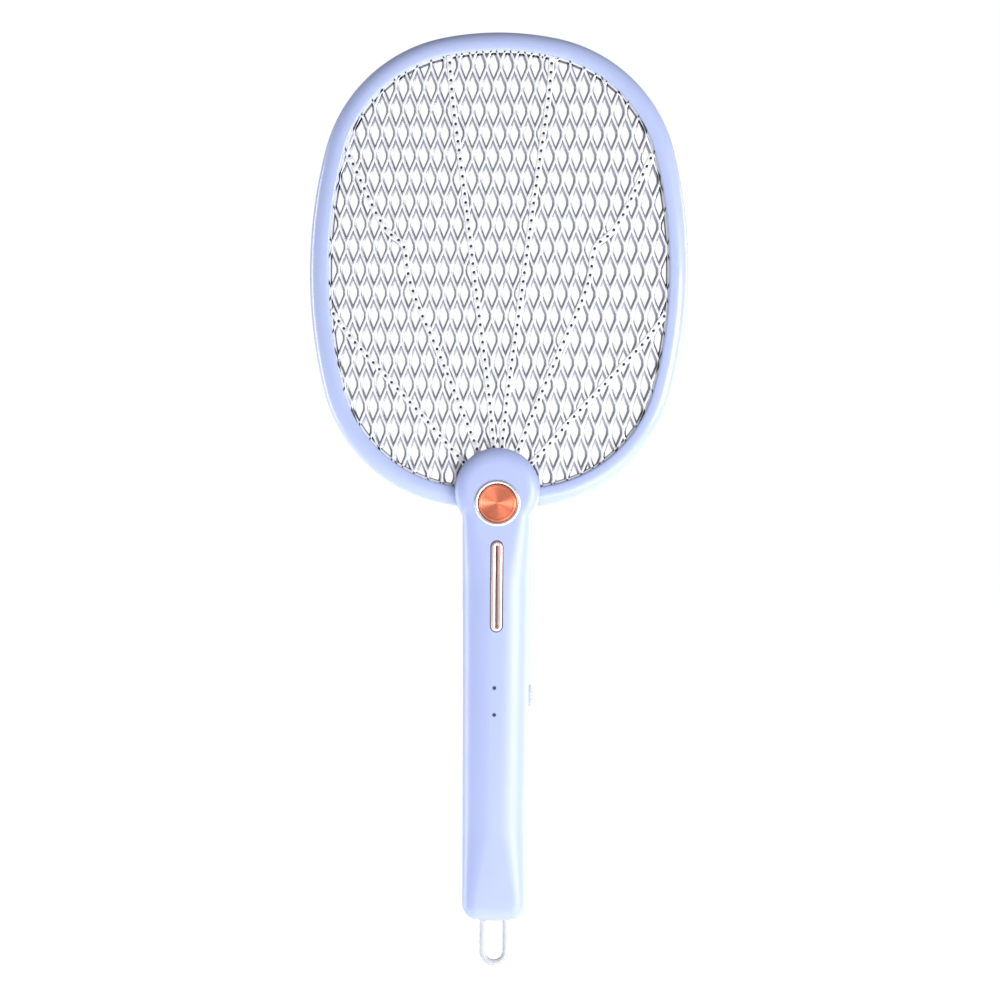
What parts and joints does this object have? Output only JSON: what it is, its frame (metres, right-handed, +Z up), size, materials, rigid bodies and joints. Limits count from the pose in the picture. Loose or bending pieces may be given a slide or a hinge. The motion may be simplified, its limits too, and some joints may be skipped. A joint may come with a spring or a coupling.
{
  "type": "electric fly swatter",
  "caption": "Rechargeable electric fly swatter: oval mesh head in a rim, slim two-shell handle with press button, light bar, slide switch, charging socket and hanging loop.",
  "frame": {"origin": "middle of the hand grip, on the handle axis and on the parting plane of the shells", "axes": "+Z up the handle towards the head, -Y out of the front face with the button, +X towards the side with the slide switch and charging socket"},
  "size_m": [0.1986, 0.0329, 0.4906],
  "materials": {
    "rim_plastic": "glossy moulded plastic, lavender blue",
    "shell_plastic": "glossy moulded plastic, lavender blue",
    "knob_plastic": "glossy moulded plastic",
    "insulator": "moulded insulating plastic",
    "guard_steel": "white coated stamped steel",
    "grid_steel": "bright stamped steel",
    "screw_steel": "zinc plated",
    "loop_plastic": "milky moulded plastic",
    "trim_chrome": "polished",
    "dark_plastic": "black moulded resin",
    "copper_metal": "copper coloured, radially spun",
    "spring_steel": "drawn wire",
    "circuit_board": "green solder mask",
    "rose_gold": "polished rose gold",
    "bar_lens": "smoked diffuser",
    "switch_steel": "tinned steel can",
    "socket_steel": "nickel plated",
    "ferrite": "sintered ferrite",
    "enamelled_copper": "fine enamelled wire",
    "capacitor_film": "dipped",
    "capacitor_blue": "dipped",
    "resistor_body": "lacquered",
    "cell_wrap": "shrink sleeve",
    "contact_nickel": "nickel strip",
    "cradle_plastic": "moulded",
    "red_wire": "insulated wire",
    "black_wire": "insulated wire",
    "white_wire": "insulated wire"
  },
  "bodies": {
    "swatter": {"head_front_rim": "rim_plastic", "head_back_rim": "rim_plastic", "front_spacer_ring": "insulator", "back_spacer_ring": "insulator", "front_guard_mesh": "guard_steel", "back_guard_mesh": "guard_steel", "high_voltage_grid": "grid_steel", "rim_screws": "screw_steel", "handle_front_shell": "shell_plastic", "handle_back_shell": "shell_plastic", "case_screws": "screw_steel", "hang_loop": "loop_plastic", "button_trim_ring": "trim_chrome", "button_spring": "spring_steel", "tact_switch": "dark_plastic", "button_board": "circuit_board", "light_bar_bezel": "rose_gold", "light_bar_lens": "bar_lens", "light_bar_board": "circuit_board", "indicator_light_pipes": "dark_plastic", "slide_switch_body": "switch_steel", "charging_socket": "socket_steel", "charging_socket_tongue": "dark_plastic", "main_board": "circuit_board", "charge_chip": "dark_plastic", "transformer_core": "ferrite", "transformer_winding": "enamelled_copper", "storage_capacitor": "capacitor_film", "multiplier_capacitors": "capacitor_blue", "multiplier_diodes": "dark_plastic", "bleed_resistors": "resistor_body", "oscillator_transistor": "dark_plastic", "battery_cell": "cell_wrap", "battery_top_contact": "contact_nickel", "battery_bottom_contact": "contact_nickel", "battery_cradle": "cradle_plastic", "battery_positive_lead": "red_wire", "battery_negative_lead": "black_wire", "grid_lead": "red_wire", "front_guard_lead": "black_wire", "back_guard_lead": "black_wire", "button_leads": "white_wire"},
    "press_button": {"zap_button": "dark_plastic", "button_cap": "copper_metal"},
    "switch_knob": {"slide_switch_knob": "knob_plastic"}
  },
  "joints": [
    {"name": "button_press", "type": "slide", "parent": "swatter", "child": "press_button", "axis": [0, 1, 0], "range_m": [0, 0.0012], "stiffness_N_per_m": 700, "springref_m": -0.0012, "deforming": ["button_spring"]},
    {"name": "switch_slide", "type": "slide", "parent": "swatter", "child": "switch_knob", "axis": [0, 0, 1], "range_m": [0, 0.004]}
  ]
}
